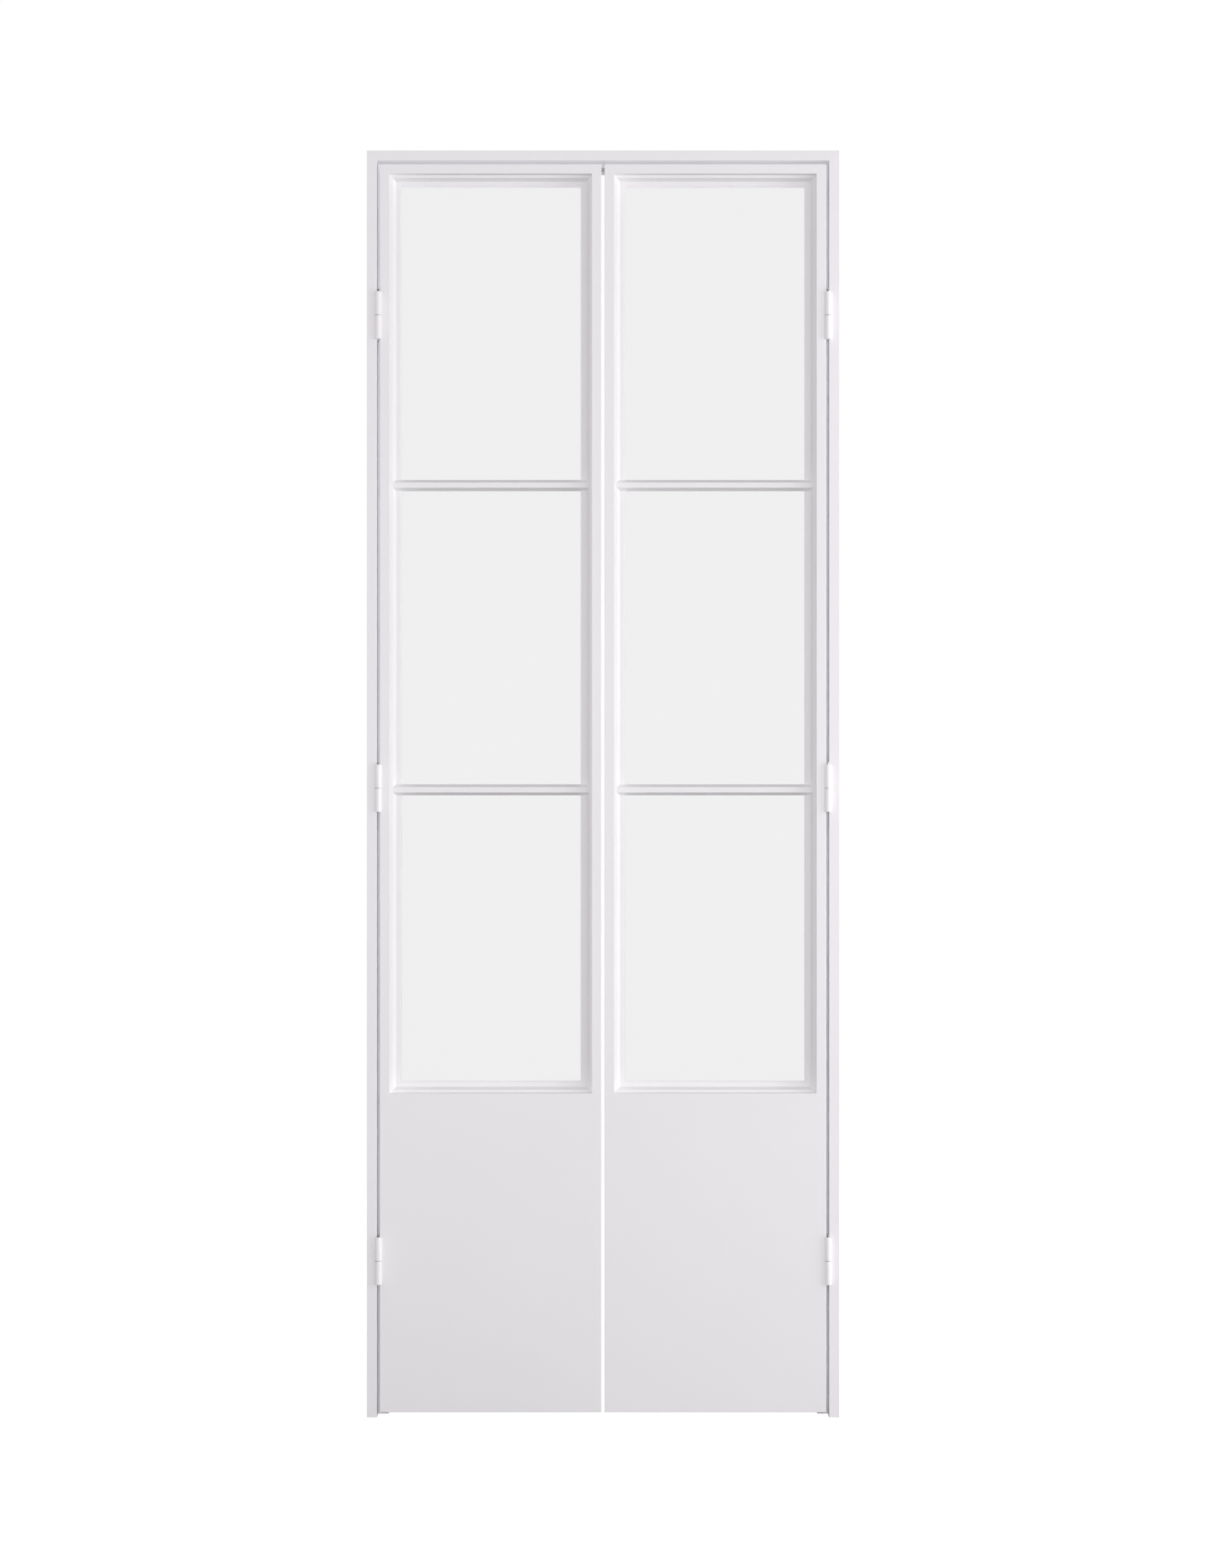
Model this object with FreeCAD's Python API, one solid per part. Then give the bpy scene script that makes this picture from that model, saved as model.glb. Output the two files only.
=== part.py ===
"""White steel double pantry door: a three-sided frame and two glazed leaves on barrel hinges.

Millimetres, +Z up. The front, where the hinge barrels show, faces -Y. The origin is on the floor,
in the middle of the frame's width and of its depth with the barrels.
"""
import FreeCAD
import Part
import os

Vector = FreeCAD.Vector

# Door frame
frame_width = 914.4
frame_height = 2453.0
frame_depth = 115.9
frame_face = 19.05
frame_sheet = 2.0
frame_lip = 15.0
edge_round = 0.8

# Gaps round the leaves
side_gap = 6.0
centre_gap = 6.0
top_gap = 7.0
floor_gap = 10.0

# Leaf, a welded frame of rectangular tube
leaf_thick = 38.1
stile_face = 18.5
tube_wall = 2.0
mid_rail_height = 40.0
kick_height = 617.4
kick_sheet = 1.5
stiffener_count = 3
stiffener_sheet = 1.0
stiffener_flange = 25.0

# Glazing surround: a land, a bevel and a ledge in front of the glass
land_width = 5.4
bevel_width = 5.5
bevel_depth = 11.0
ledge_width = 9.2
lip_thick = 1.5
tape_thick = 1.0
tape_reveal = 2.0
glass_thick = 4.0
bead_thick = 3.0
bead_setback = 1.2
pocket_edge = 8.0
glass_edge_clear = 1.0

# Muntins
muntin_flat = 10.2
lower_lite_height = 587.8
muntin_pitch = 591.8

# Door stop, an angle with a seal on its face
stop_gap = 1.9
stop_width = 21.0
stop_sheet = 3.0
stop_leg = 32.0
seal_width = 6.0
seal_inset = 8.0
seal_clear = 0.3

# Barrel hinges
barrel_radius = 7.0
barrel_length = 91.6
barrel_face_clear = 0.3
barrel_end_bevel = 0.6
hinge_inset = 294.0
hinge_count = 3
hinge_plate_thick = 2.5
hinge_plate_depth = 30.0
pin_radius = 4.0
pin_tip_radius = 2.5
pin_tip_height = 5.0
pin_fit = 0.02
running_fit = 0.05
knuckle_cap = 4.0
washer_thick = 1.0
washer_inset = 0.5
thrust_clear = 0.1
hinge_screw_pitch = 24.0
backer_thick = 4.0
backer_margin = 2.0

# Magnetic catches in the head stop
catch_offset = 45.0
catch_width = 48.0
catch_depth = 14.0
catch_nose_width = 40.0
catch_nose_height = 5.0
catch_nose_margin = 1.0
catch_ear_depth = 12.0
catch_ear_thick = 3.0
catch_window_clear = 0.2

# Screws and fixing holes
screw_fit = 0.02
hinge_screw_radius = 2.5
hinge_screw_head = 4.3
stop_screw_radius = 2.0
stop_screw_head = 3.6
stop_screw_count = 6
head_screw_count = 4
stop_screw_inset = 70.0
bead_screw_radius = 1.5
bead_screw_head = 2.9
bead_screw_length = 12.0
tall_bead_screw_count = 6
wide_bead_screw_count = 2
bead_screw_inset = 60.0
recess_reach = 0.55
recess_slot = 0.15
recess_depth = 1.0
fixing_hole_radius = 3.5
jamb_fixings = 4
head_fixings = 2
fixing_inset = 150.0

# Hidden frame hardware
cleat_leg = 60.0
cleat_width = 60.0
cleat_sheet = 3.0
clip_sheet = 3.0
clip_hole_radius = 4.0

# Places worked out from the sizes above
hinge_axis_out = barrel_radius + barrel_face_clear
front = (hinge_axis_out + barrel_radius - frame_depth) / 2
back = front + frame_depth
frame_left = -frame_width / 2
jamb_left = frame_left + frame_face
head_under = frame_height - frame_face

leaf_left = jamb_left + side_gap
leaf_right = -centre_gap / 2
leaf_bottom = floor_gap
leaf_top = head_under - top_gap
leaf_back = front + leaf_thick

open_left = leaf_left + stile_face
open_right = leaf_right - stile_face
open_bottom = leaf_bottom + kick_height
open_top = leaf_top - stile_face
opening = (open_left, open_right, open_bottom, open_top)

bead_front = leaf_back - bead_thick
glass_front = bead_front - glass_thick
lip_back = glass_front - tape_thick
ledge_front = lip_back - lip_thick
land_front = ledge_front - bevel_depth
ledge_start = land_width + bevel_width
ledge_end = ledge_start + ledge_width
sight_edge = ledge_end + tape_reveal
bead_edge = sight_edge - bead_setback
glass_edge = pocket_edge + glass_edge_clear
muntin_base = muntin_flat + 2 * bevel_width
lower_muntin_height = open_bottom + lower_lite_height
muntin_heights = (lower_muntin_height, lower_muntin_height + muntin_pitch)

stop_front = leaf_back + stop_gap
stop_end = stop_front + stop_leg
fixing_line = (stop_end + back - frame_sheet) / 2

hinge_x = jamb_left + side_gap / 2
hinge_y = front - hinge_axis_out
hinge_low = leaf_bottom + hinge_inset
hinge_high = leaf_top - hinge_inset
plate_back = front + hinge_plate_depth
screw_line = front + hinge_plate_depth / 2
knuckle_length = (barrel_length - washer_thick) / 2

mirror_plane = (Vector(0, 0, 0), Vector(1, 0, 0))
along_x = Vector(1, 0, 0)
along_y = Vector(0, 1, 0)
along_z = Vector(0, 0, 1)
same_place = 0.001
cut_margin = 1.0


def spaced(first, last, count):
    """Evenly spaced places from first to last."""
    step = (last - first) / (count - 1)
    return [first + step * number for number in range(count)]


def block(x_range, y_range, z_range):
    """A box from its ranges, each given in either order."""
    lows = [min(pair) for pair in (x_range, y_range, z_range)]
    sizes = [abs(pair[1] - pair[0]) for pair in (x_range, y_range, z_range)]
    return Part.makeBox(sizes[0], sizes[1], sizes[2], Vector(lows[0], lows[1], lows[2]))


def prism(points, travel):
    """A straight solid from a closed outline of points, carried along a vector."""
    return Part.Face(Part.makePolygon(points + points[:1])).extrude(travel)


def mirrored(shape):
    """The same piece on the other side of the door."""
    return shape.mirror(*mirror_plane)


def group(shapes):
    """Separate solids kept side by side in one node."""
    return Part.makeCompound(shapes)


def long_edges(shape, direction, places):
    """Edges along a direction that pass through the given cross-section places."""
    found = []
    for edge in shape.Edges:
        start = edge.Vertexes[0].Point
        end = edge.Vertexes[-1].Point
        if (end - start).cross(direction).Length > same_place:
            continue
        for place in places:
            if (start - place).cross(direction).Length < same_place:
                found.append(edge)
    return found


def frame_bar(side, outline, box, mitre_low=True, mitre_high=True, rounded=()):
    """One bar of a rectangular surround, mitred into its neighbours.

    The outline holds (inward, y) points, with inward measured from that side of the box
    (x low, x high, z low, z high). Rounded lists the outline points whose long edges are eased.
    """
    x_low, x_high, z_low, z_high = box
    reach = max(point[0] for point in outline)

    def place(inward, y, run):
        spots = {
            "left": Vector(x_low + inward, y, run),
            "right": Vector(x_high - inward, y, run),
            "bottom": Vector(run, y, z_low + inward),
            "top": Vector(run, y, z_high - inward),
        }
        return spots[side]

    upright = side in ("left", "right")
    start, end = (z_low, z_high) if upright else (x_low, x_high)
    direction = along_z if upright else along_x
    bar = prism([place(inward, y, start) for inward, y in outline], direction * (end - start))
    if rounded:
        eased = long_edges(bar, direction, [place(inward, y, start) for inward, y in rounded])
        bar = bar.makeFillet(edge_round, eased)
    y_low = min(point[1] for point in outline) - cut_margin
    y_travel = along_y * (max(point[1] for point in outline) + cut_margin - y_low)
    for wanted, tip, turn in ((mitre_low, start, 1), (mitre_high, end, -1)):
        if not wanted:
            continue
        corner = place(0, y_low, tip)
        beside = place(reach, y_low, tip)
        inner = place(reach, y_low, tip + turn * reach)
        bar = bar.cut(prism([corner, beside, inner], y_travel))
    return bar


def tube_outlines():
    """Outer and inner outlines of the leaf's rectangular tube."""
    outer = [(0, front), (stile_face, front), (stile_face, leaf_back), (0, leaf_back)]
    near = front + tube_wall
    far = leaf_back - tube_wall
    inside = stile_face - tube_wall
    inner = [(tube_wall, near), (inside, near), (inside, far), (tube_wall, far)]
    return outer, inner


def countersunk(point, direction, length, radius, head, fit=0.0):
    """A countersunk screw from its flush head inwards, or its hole when a fit is given."""
    rise = head - radius
    cone = Part.makeCone(head + fit, radius + fit, rise, point, direction)
    shank = Part.makeCylinder(radius + fit, length + fit, point, direction)
    return cone.fuse(shank).removeSplitter()


# Screws: each list holds (point, direction, length) for the left half of the door
plate_grip = hinge_plate_thick + backer_thick
hinge_heights = spaced(hinge_low, hinge_high, hinge_count)
half_middle = (barrel_length + washer_thick) / 4


def hinge_screw_places(sign, surface_x, wall):
    """Hinge screws of one side of the gap, sign -1 for the frame and +1 for the leaf."""
    places = []
    for height in hinge_heights:
        middle = height + sign * half_middle
        for step in (-hinge_screw_pitch / 2, hinge_screw_pitch / 2):
            point = Vector(surface_x - sign * hinge_plate_thick, screw_line, middle + step)
            places.append((point, along_x * sign, plate_grip + wall))
    return places


frame_screw_places = hinge_screw_places(-1, jamb_left, frame_sheet)
leaf_screw_places = hinge_screw_places(1, leaf_left, tube_wall)

stop_screw_y = (stop_front + stop_end) / 2
stop_grip = stop_sheet + frame_sheet
jamb_stop_screws = [
    (Vector(jamb_left + stop_sheet, stop_screw_y, height), -along_x, stop_grip)
    for height in spaced(stop_screw_inset, head_under - stop_screw_inset, stop_screw_count)
]
head_stop_screws = [
    (Vector(x, stop_screw_y, head_under - stop_sheet), along_z, stop_grip)
    for x in spaced(jamb_left + stop_screw_inset, -jamb_left - stop_screw_inset, head_screw_count)
]
catch_body_back = stop_front + stop_sheet + catch_depth
catch_screw_y = catch_body_back + catch_ear_depth / 2
catch_ear_top = head_under - stop_sheet
catch_ear_low = catch_ear_top - catch_ear_thick
catch_screws = [
    (Vector(x, catch_screw_y, catch_ear_low), along_z, stop_grip + catch_ear_thick)
    for x in (-catch_offset, catch_offset)
]
bead_screw_in = pocket_edge / 2
bead_screw_places = []
for height in spaced(open_bottom + bead_screw_inset, open_top - bead_screw_inset, tall_bead_screw_count):
    for x in (open_left + bead_screw_in, open_right - bead_screw_in):
        bead_screw_places.append((Vector(x, leaf_back, height), -along_y, bead_screw_length))
for x in spaced(open_left + bead_screw_inset, open_right - bead_screw_inset, wide_bead_screw_count):
    for height in (open_bottom + bead_screw_in, open_top - bead_screw_in):
        bead_screw_places.append((Vector(x, leaf_back, height), -along_y, bead_screw_length))


def cross_recess(point, direction, head):
    """The cross in a screw's head that takes the driver, in shares of the head's radius."""
    arm = along_x if abs(direction.dot(along_z)) > same_place else along_z
    other = direction.cross(arm)
    reach = head * recess_reach
    slot = head * recess_slot
    quarter = [(reach, -slot), (reach, slot), (slot, slot)]
    outline = []
    for first, second in ((arm, other), (other, -arm), (-arm, -other), (-other, arm)):
        outline += [point + first * a + second * b for a, b in quarter]
    return prism(outline, direction * recess_depth)


def screws(places, radius, head):
    """The screws of a list, as separate solids."""
    return [countersunk(point, direction, length, radius, head).cut(cross_recess(point, direction, head))
            for point, direction, length in places]


def drilled(shape, places, radius, head):
    """A piece with the holes of a list of screws."""
    holes = [countersunk(point, direction, length, radius, head, screw_fit)
             for point, direction, length in places]
    return shape.cut(holes)


def drill_hinge(shape, places):
    return drilled(shape, places, hinge_screw_radius, hinge_screw_head)


def drill_stop(shape, places):
    return drilled(shape, places, stop_screw_radius, stop_screw_head)


def drill_bead(shape):
    return drilled(shape, bead_screw_places, bead_screw_radius, bead_screw_head)


def fixing_holes(points, direction):
    """Plain holes for the screws that fix the frame to a wall."""
    reach = 2 * frame_face
    return [Part.makeCylinder(fixing_hole_radius, reach, point - direction * frame_face, direction)
            for point in points]


# Door frame: folded channels, open to the wall, mitred at the top corners
frame_box = (frame_left, -frame_left, 0.0, frame_height)
inside_box = (jamb_left, -jamb_left, 0.0, head_under)


def channel_outline():
    web = frame_face - frame_sheet
    near = front + frame_sheet
    far = back - frame_sheet
    return [
        (0, front), (frame_face, front), (frame_face, back), (0, back),
        (0, back - frame_lip), (frame_sheet, back - frame_lip), (frame_sheet, far), (web, far),
        (web, near), (frame_sheet, near), (frame_sheet, front + frame_lip), (0, front + frame_lip),
    ]


channel_edges = [(0, front), (frame_face, front), (frame_face, back), (0, back)]
left_jamb = frame_bar("left", channel_outline(), frame_box, False, True, channel_edges)
jamb_fixing_heights = spaced(fixing_inset, frame_height - fixing_inset, jamb_fixings)
left_jamb = left_jamb.cut(fixing_holes([Vector(jamb_left, fixing_line, height)
                                        for height in jamb_fixing_heights], along_x))
left_jamb = drill_hinge(left_jamb, frame_screw_places)
left_jamb = drill_stop(left_jamb, jamb_stop_screws)

head_jamb = frame_bar("top", channel_outline(), frame_box, True, True, channel_edges)
head_fixing_places = spaced(jamb_left + fixing_inset, -jamb_left - fixing_inset, head_fixings)
head_jamb = head_jamb.cut(fixing_holes([Vector(x, fixing_line, head_under)
                                        for x in head_fixing_places], along_z))
head_jamb = drill_stop(head_jamb, head_stop_screws + catch_screws)

# Corner cleats lie in the channels, over the corner of the two webs
web_left = jamb_left - frame_sheet
web_top = head_under + frame_sheet
frame_middle = (front + back) / 2
cleat_span = (frame_middle - cleat_width / 2, frame_middle + cleat_width / 2)
cleat_upright = block((web_left - cleat_sheet, web_left), cleat_span,
                      (web_top - cleat_leg, web_top + cleat_sheet))
cleat_flat = block((web_left - cleat_sheet, web_left + cleat_leg), cleat_span,
                   (web_top, web_top + cleat_sheet))
left_cleat = cleat_upright.fuse(cleat_flat).removeSplitter()

# Floor clips close the feet of the jambs
clip_x = (frame_left + frame_sheet, web_left)
left_clip = block(clip_x, (front + frame_sheet, back - frame_sheet), (0, clip_sheet))
left_clip = left_clip.cut(Part.makeCylinder(clip_hole_radius, clip_sheet,
                                            Vector(sum(clip_x) / 2, frame_middle, 0), along_z))

# Door stops: angles whose front leg takes the leaf and whose other leg lies on the frame
stop_outline = [
    (0, stop_front), (stop_width, stop_front), (stop_width, stop_front + stop_sheet),
    (stop_sheet, stop_front + stop_sheet), (stop_sheet, stop_end), (0, stop_end),
]
left_stop = frame_bar("left", stop_outline, inside_box, False, True)
left_stop = drill_stop(left_stop, jamb_stop_screws)
head_stop = frame_bar("top", stop_outline, inside_box, True, True)
head_stop = drill_stop(head_stop, head_stop_screws + catch_screws)

# Seals on the faces of the stops
seal_y = (leaf_back + seal_clear, stop_front)
seal_low = head_under - seal_inset - seal_width
seal_left = jamb_left + seal_inset
left_seal = block((seal_left, seal_left + seal_width), seal_y, (leaf_bottom, seal_low))
head_seal = block((seal_left, -seal_left), seal_y, (seal_low, seal_low + seal_width))

# Magnetic catches: a body behind the head stop, a nose through it and an ear that is screwed up
nose_low = head_under - stop_width + catch_nose_margin
nose_z = (nose_low, nose_low + catch_nose_height)


def catch(x):
    body_y = (stop_front + stop_sheet, catch_body_back)
    ear_y = (catch_body_back, catch_body_back + catch_ear_depth)
    half = catch_width / 2
    nose_half = catch_nose_width / 2
    body = block((x - half, x + half), body_y, (nose_low, catch_ear_top))
    nose = block((x - nose_half, x + nose_half), (leaf_back + seal_clear, body_y[0]), nose_z)
    ear = block((x - half, x + half), ear_y, (catch_ear_low, catch_ear_top))
    return drill_stop(body.fuse([nose, ear]).removeSplitter(), catch_screws)


def catch_window(x):
    half = catch_nose_width / 2 + catch_window_clear
    return block((x - half, x + half), (stop_front, stop_front + stop_sheet),
                 (nose_z[0] - catch_window_clear, nose_z[1] + catch_window_clear))


catches = [catch(-catch_offset), catch(catch_offset)]
head_stop = head_stop.cut([catch_window(-catch_offset), catch_window(catch_offset)])


# Barrel hinges of the left leaf: the frame's half is below, the leaf's half above
def eased_knuckle(low):
    knuckle = Part.makeCylinder(barrel_radius, knuckle_length, Vector(hinge_x, hinge_y, low), along_z)
    rims = [edge for edge in knuckle.Edges if edge.Curve.TypeId == "Part::GeomCircle"]
    return knuckle.makeChamfer(barrel_end_bevel, rims)


def round_bore(radius, low, high):
    return Part.makeCylinder(radius, high - low, Vector(hinge_x, hinge_y, low), along_z)


def frame_half(height):
    low = height - barrel_length / 2
    top = low + knuckle_length
    plate = block((jamb_left, jamb_left + hinge_plate_thick), (hinge_y, plate_back), (low, top))
    half = eased_knuckle(low).fuse(plate).removeSplitter()
    half = half.cut(round_bore(pin_radius + pin_fit, low + knuckle_cap, top))
    return drill_hinge(half, frame_screw_places)


def leaf_half(height):
    top = height + barrel_length / 2
    low = top - knuckle_length + thrust_clear
    plate = block((leaf_left - hinge_plate_thick, leaf_left), (hinge_y, plate_back), (low, top))
    half = eased_knuckle(top - knuckle_length).common(round_bore(2 * barrel_radius, low, top))
    half = half.fuse(plate).removeSplitter()
    half = half.cut(round_bore(pin_radius + running_fit, low, top - knuckle_cap))
    half = half.cut(round_bore(pin_tip_radius + running_fit, low, top))
    return drill_hinge(half, leaf_screw_places)


def hinge_pin(height):
    low = height - barrel_length / 2 + knuckle_cap
    shoulder = height + barrel_length / 2 - knuckle_cap - thrust_clear
    tip = height + barrel_length / 2 + pin_tip_height
    body = round_bore(pin_radius, low, shoulder)
    return body.fuse(round_bore(pin_tip_radius, shoulder, tip)).removeSplitter()


def thrust_washer(height):
    low = height - washer_thick / 2
    ring = round_bore(barrel_radius - washer_inset, low, low + washer_thick)
    return ring.cut(round_bore(pin_radius + running_fit, low, low + washer_thick))


def backers(places, surface_x, sign):
    """Plates that take the hinge screws, behind the frame's sheet or the tube's wall."""
    plates = []
    inner = front + tube_wall + backer_margin
    for height in hinge_heights:
        middle = height + sign * half_middle
        half = knuckle_length / 2
        plate = block((surface_x, surface_x + sign * backer_thick), (inner, plate_back),
                      (middle - half, middle + half))
        plates.append(drill_hinge(plate, places))
    return plates


frame_halves = [frame_half(height) for height in hinge_heights]
leaf_halves = [leaf_half(height) for height in hinge_heights]
pins = [hinge_pin(height) for height in hinge_heights]
washers = [thrust_washer(height) for height in hinge_heights]
frame_backers = backers(frame_screw_places, web_left, -1)
leaf_backers = backers(leaf_screw_places, leaf_left + tube_wall, 1)

# Leaf: mitred tubes, a mid rail between the stiles, and the flush kick panel
leaf_box = (leaf_left, leaf_right, leaf_bottom, leaf_top)
outer_tube, inner_tube = tube_outlines()
tube_edges = [(0, front), (0, leaf_back)]


def leaf_tube(side):
    shell = frame_bar(side, outer_tube, leaf_box, rounded=tube_edges)
    return shell.cut(frame_bar(side, inner_tube, leaf_box, False, False))


hinge_stile = drill_hinge(leaf_tube("left"), leaf_screw_places)
meeting_stile = leaf_tube("right")
top_rail = leaf_tube("top")
bottom_rail = leaf_tube("bottom")

rail_low = open_bottom - mid_rail_height
mid_rail = block((open_left, open_right), (front, leaf_back), (rail_low, open_bottom))
mid_rail = mid_rail.cut(block((open_left, open_right), (front + tube_wall, leaf_back - tube_wall),
                              (rail_low + tube_wall, open_bottom - tube_wall)))

kick_x = (open_left, open_right)
kick_z = (leaf_bottom + stile_face, rail_low)
kick_front = block(kick_x, (front, front + kick_sheet), kick_z)
kick_back = block(kick_x, (leaf_back - kick_sheet, leaf_back), kick_z)


def stiffener(x):
    near = front + kick_sheet
    far = leaf_back - kick_sheet
    web = x + stiffener_sheet
    end = x + stiffener_flange
    outline = [
        (x, near), (end, near), (end, near + stiffener_sheet), (web, near + stiffener_sheet),
        (web, far - stiffener_sheet), (end, far - stiffener_sheet), (end, far), (x, far),
    ]
    points = [Vector(px, py, kick_z[0]) for px, py in outline]
    return prism(points, along_z * (kick_z[1] - kick_z[0]))


bay = (open_right - open_left) / (stiffener_count + 1)
stiffeners = [stiffener(open_left + bay * (number + 1) - stiffener_flange / 2)
              for number in range(stiffener_count)]

# Glazing: surround bars in front of the glass, tape, pane, and beads behind
surround_outline = [
    (0, land_front), (land_width, land_front), (ledge_start, ledge_front), (ledge_end, ledge_front),
    (ledge_end, lip_back), (pocket_edge, lip_back), (pocket_edge, bead_front), (0, bead_front),
]
bead_outline = [(0, bead_front), (bead_edge, bead_front), (bead_edge, leaf_back), (0, leaf_back)]
sides = ("left", "right", "top", "bottom")
surround = {side: drill_bead(frame_bar(side, surround_outline, opening)) for side in sides}
rear_beads = [drill_bead(frame_bar(side, bead_outline, opening)) for side in sides]

pane_x = (open_left + glass_edge, open_right - glass_edge)
pane_z = (open_bottom + glass_edge, open_top - glass_edge)
glass = block(pane_x, (glass_front, bead_front), pane_z)


def muntin(height):
    """A bevelled bar across the glass, coped to the side bars."""
    half_flat = muntin_flat / 2
    half_base = muntin_base / 2
    outline = [
        (-half_flat, land_front), (half_flat, land_front), (half_base, ledge_front), (half_base, lip_back),
        (-half_base, lip_back), (-half_base, ledge_front),
    ]
    points = [Vector(open_left + land_width, y, height + rise) for rise, y in outline]
    bar = prism(points, along_x * (open_right - open_left - 2 * land_width))
    return bar.cut([surround["left"], surround["right"]])


lower_muntin, upper_muntin = [muntin(height) for height in muntin_heights]

tape_y = (lip_back, glass_front)
tape_x = (open_left + sight_edge, open_right - sight_edge)
tape_z = (open_bottom + sight_edge, open_top - sight_edge)
rear_bar_x = (open_left + bead_edge, open_right - bead_edge)
rear_bar_half = muntin_base / 2 - bead_setback
tapes = [
    block((pane_x[0], tape_x[0]), tape_y, pane_z),
    block((tape_x[1], pane_x[1]), tape_y, pane_z),
    block(tape_x, tape_y, (pane_z[0], tape_z[0])),
    block(tape_x, tape_y, (tape_z[1], pane_z[1])),
]
for height in muntin_heights:
    muntin_z = (height - muntin_base / 2, height + muntin_base / 2)
    tapes.append(block(tape_x, tape_y, muntin_z))
    rear_bar_z = (height - rear_bar_half, height + rear_bar_half)
    rear_beads.append(block(rear_bar_x, (bead_front, leaf_back), rear_bar_z))

# Nodes: what is the same on both sides is mirrored
stop_screws = screws(jamb_stop_screws, stop_screw_radius, stop_screw_head)
head_screws = screws(head_stop_screws + catch_screws, stop_screw_radius, stop_screw_head)
frame_hinge_screws = screws(frame_screw_places, hinge_screw_radius, hinge_screw_head)
leaf_hinge_screws = screws(leaf_screw_places, hinge_screw_radius, hinge_screw_head)


def both(shapes):
    return shapes + [mirrored(shape) for shape in shapes]


nodes = {
    "head_jamb": head_jamb,
    "corner_cleats": group(both([left_cleat])),
    "floor_clips": group(both([left_clip])),
    "head_stop": head_stop,
    "stop_seals": group(both([left_seal]) + [head_seal]),
    "stop_screws": group(both(stop_screws) + head_screws),
    "magnetic_catches": group(catches),
    "hinge_pins": group(both(pins)),
    "hinge_washers": group(both(washers)),
    "frame_hinge_backers": group(both(frame_backers)),
    "frame_hinge_screws": group(both(frame_hinge_screws)),
}
left_pieces = {
    "jamb": left_jamb,
    "stop": left_stop,
    "frame_hinge_halves": group(frame_halves),
    "leaf_hinge_halves": group(leaf_halves),
    "leaf_hinge_backers": group(leaf_backers),
    "leaf_hinge_screws": group(leaf_hinge_screws),
    "hinge_stile": hinge_stile,
    "meeting_stile": meeting_stile,
    "top_rail": top_rail,
    "mid_rail": mid_rail,
    "bottom_rail": bottom_rail,
    "kick_front": kick_front,
    "kick_back": kick_back,
    "kick_stiffeners": group(stiffeners),
    "surround_hinge_side": surround["left"],
    "surround_meeting_side": surround["right"],
    "surround_top": surround["top"],
    "surround_bottom": surround["bottom"],
    "upper_muntin": upper_muntin,
    "lower_muntin": lower_muntin,
    "glazing_tape": group(tapes),
    "glass": glass,
    "rear_beads": group(rear_beads),
    "bead_screws": group(screws(bead_screw_places, bead_screw_radius, bead_screw_head)),
}
for name, shape in left_pieces.items():
    nodes["left_" + name] = shape
    nodes["right_" + name] = mirrored(shape)

os.makedirs("parts", exist_ok=True)
for name, shape in nodes.items():
    shape.exportStep("parts/" + name + ".step")
    print(name, len(shape.Solids), "solids", shape.isValid(), round(shape.Volume))
print(len(nodes), "nodes")
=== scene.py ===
# %% [markdown]
# # A white steel pantry door
# The real door is a pair of slim glazed leaves in a three-sided steel frame, all powder coated white. The
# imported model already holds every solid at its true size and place. This lesson adds what the solids lack:
# finishes for the paint, the glass, the rubber and the bare metals, eased edges on the folded pieces, the
# welds and magnet poles that are too small for the solids, and a plain studio to see them in.

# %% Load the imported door
import math

import bmesh
import bpy
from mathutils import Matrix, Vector


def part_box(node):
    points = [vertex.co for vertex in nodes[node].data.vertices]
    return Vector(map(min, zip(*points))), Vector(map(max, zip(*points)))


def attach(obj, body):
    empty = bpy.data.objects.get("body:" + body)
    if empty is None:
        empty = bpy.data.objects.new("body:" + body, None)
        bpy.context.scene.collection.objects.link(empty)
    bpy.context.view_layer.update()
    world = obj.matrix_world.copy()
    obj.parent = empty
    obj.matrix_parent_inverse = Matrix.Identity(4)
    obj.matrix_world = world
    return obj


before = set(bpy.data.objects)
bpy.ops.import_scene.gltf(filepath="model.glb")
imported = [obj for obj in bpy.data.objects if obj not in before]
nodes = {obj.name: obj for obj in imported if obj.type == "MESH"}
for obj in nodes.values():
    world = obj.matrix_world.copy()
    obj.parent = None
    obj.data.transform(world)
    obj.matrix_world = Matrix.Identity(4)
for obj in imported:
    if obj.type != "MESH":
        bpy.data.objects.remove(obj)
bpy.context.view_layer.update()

# %% [markdown]
# ## Colour transform
# The photograph keeps its background at full white. A film-like curve would turn that white grey, so the
# plain Standard transform is used, which shows a surface at full brightness as white. White paint passes
# light on many times in the narrow gaps, so the light may bounce more often than Blender's default allows.

# %% Plain colour transform and deep bounces
scene = bpy.context.scene
scene.view_settings.view_transform = "Standard"
scene.cycles.max_bounces = 16
scene.cycles.diffuse_bounces = 14
print("colour transform", scene.view_settings.view_transform)

# %% [markdown]
# ## Camera
# The photograph looks straight at the front from half the height of the door. The distance could be
# guessed, but the narrow view of the door stop past the edges of the leaves gives it: a little over six
# metres. The focal length then follows from how much of the picture the frame fills.

# %% Camera at the photograph's place
view_distance = 6.35
view_height = 1.2265
front_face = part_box("left_jamb")[0].y
camera_data = bpy.data.cameras.new("door_camera")
camera_data.sensor_width = 36.0
camera_data.lens = 75.3
camera = bpy.data.objects.new("door_camera", camera_data)
camera.location = (0.0, front_face - view_distance, view_height)
camera.rotation_euler = (math.radians(90), 0.0, 0.0)
scene.collection.objects.link(camera)
scene.camera = camera
print("camera at", [round(value, 3) for value in camera.location])

# %% [markdown]
# ## Node helpers
# Every light and finish below is a small graph of nodes. Written out in full, each node would take four or
# five lines. One helper makes a node, sets it up and links it: an input is given either a value or the
# output of another node. A few more helpers name the sums that come up again and again.

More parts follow.
